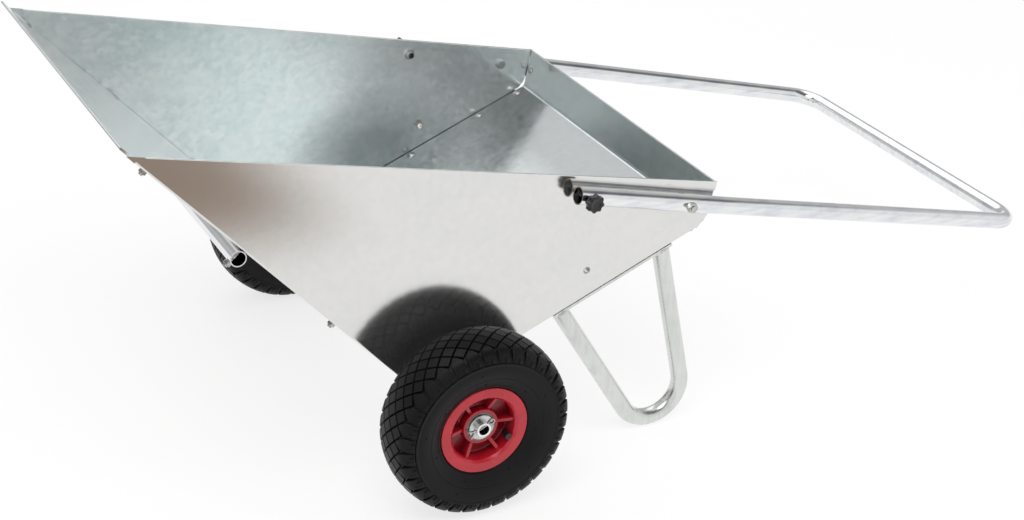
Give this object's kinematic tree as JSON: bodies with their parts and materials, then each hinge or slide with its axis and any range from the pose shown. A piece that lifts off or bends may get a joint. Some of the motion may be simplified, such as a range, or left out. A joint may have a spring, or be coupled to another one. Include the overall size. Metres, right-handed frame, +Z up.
{
  "type": "two-wheeled wheelbarrow",
  "caption": "Tipping garden barrow with a bolted galvanised sheet tub, side wheels on a fixed axle, bent-tube feet and a folding U-shaped push handle locked by star knobs.",
  "frame": {"origin": "on the ground, midway along and midway across the barrow", "axes": "+X back towards the push handle, +Y to the user's right, +Z up"},
  "size_m": [1.4174, 0.7616, 0.5755],
  "materials": {
    "galvanised_sheet": "hot-dip galvanised, soft spangle",
    "zinc_tube": "bright blue zinc plating",
    "zinc_fastener": "bright zinc plating",
    "bearing_steel": "ground steel with grey shields",
    "red_plastic": "moulded gloss",
    "tyre_rubber": "moulded tread rubber",
    "black_rubber": "satin",
    "black_plastic": "fine moulded grain",
    "black_steel": "black oxide"
  },
  "bodies": {
    "tub": {"left_side_panel": "galvanised_sheet", "right_side_panel": "galvanised_sheet", "front_sheet": "galvanised_sheet", "rear_sheet": "galvanised_sheet", "front_cross_tube": "zinc_tube", "front_seam_bolts": "zinc_fastener", "front_seam_nuts": "zinc_fastener", "cross_tube_bolts": "zinc_fastener", "cross_tube_nuts": "zinc_fastener", "rear_seam_bolts": "zinc_fastener", "rear_seam_nuts": "zinc_fastener", "back_corner_bolts": "zinc_fastener", "back_corner_nuts": "zinc_fastener", "lap_bolts": "zinc_fastener", "lap_nuts": "zinc_fastener", "left_leg": "zinc_tube", "right_leg": "zinc_tube", "left_leg_bar": "zinc_tube", "right_leg_bar": "zinc_tube", "leg_bolts": "zinc_fastener", "leg_nuts": "zinc_fastener", "axle_tube": "zinc_tube", "left_axle_bracket": "zinc_tube", "right_axle_bracket": "zinc_tube", "bracket_bolts": "zinc_fastener", "bracket_nuts": "zinc_fastener", "axle_spacers": "zinc_tube", "inner_washers": "zinc_fastener", "outer_washers": "zinc_fastener", "split_pins": "zinc_fastener", "pivot_bolts": "zinc_fastener", "pivot_washers": "zinc_fastener", "pivot_nuts": "zinc_fastener", "lock_inserts": "zinc_fastener", "left_bearing_inner_rings": "bearing_steel", "right_bearing_inner_rings": "bearing_steel"},
    "handle": {"handle_tube": "zinc_tube"},
    "left_wheel": {"left_tyre": "tyre_rubber", "left_inner_tube": "black_rubber", "left_rim_outer_half": "red_plastic", "left_rim_inner_half": "red_plastic", "left_rim_screws": "zinc_fastener", "left_bearing_outer_rings": "bearing_steel", "left_valve_stem": "black_rubber", "left_valve_cap": "black_plastic"},
    "left_knob_slider": {"left_knob_collar": "black_plastic"},
    "left_knob_screw": {"left_knob": "black_plastic", "left_knob_stud": "black_steel"},
    "right_wheel": {"right_tyre": "tyre_rubber", "right_inner_tube": "black_rubber", "right_rim_outer_half": "red_plastic", "right_rim_inner_half": "red_plastic", "right_rim_screws": "zinc_fastener", "right_bearing_outer_rings": "bearing_steel", "right_valve_stem": "black_rubber", "right_valve_cap": "black_plastic"},
    "right_knob_slider": {"right_knob_collar": "black_plastic"},
    "right_knob_screw": {"right_knob": "black_plastic", "right_knob_stud": "black_steel"}
  },
  "joints": [
    {"name": "handle_swing", "type": "hinge", "parent": "tub", "child": "handle", "pos_m": [0.07424, 0, 0.36491], "axis": [0, -1, 0], "range_deg": [0, 167]},
    {"name": "left_wheel_spin", "type": "hinge", "parent": "tub", "child": "left_wheel", "pos_m": [-0.26765, -0.338, 0.13], "axis": [0, 1, 0], "continuous": true},
    {"name": "left_knob_travel", "type": "slide", "parent": "handle", "child": "left_knob_slider", "axis": [0, 1, 0], "range_m": [0, 0.0025]},
    {"name": "left_knob_turn", "type": "hinge", "parent": "left_knob_slider", "child": "left_knob_screw", "pos_m": [-0.08586, -0.315, 0.40483], "axis": [0, 1, 0], "range_deg": [0, 720]},
    {"name": "right_wheel_spin", "type": "hinge", "parent": "tub", "child": "right_wheel", "pos_m": [-0.26765, 0.338, 0.13], "axis": [0, 1, 0], "continuous": true},
    {"name": "right_knob_travel", "type": "slide", "parent": "handle", "child": "right_knob_slider", "axis": [0, -1, 0], "range_m": [0, 0.0025]},
    {"name": "right_knob_turn", "type": "hinge", "parent": "right_knob_slider", "child": "right_knob_screw", "pos_m": [-0.08586, 0.315, 0.40483], "axis": [0, -1, 0], "range_deg": [0, 720]}
  ],
  "couplings": [
    {"joint": "left_knob_turn", "follows": "left_knob_travel", "rad_per_m": 5026.5},
    {"joint": "right_knob_turn", "follows": "right_knob_travel", "rad_per_m": 5026.5}
  ]
}
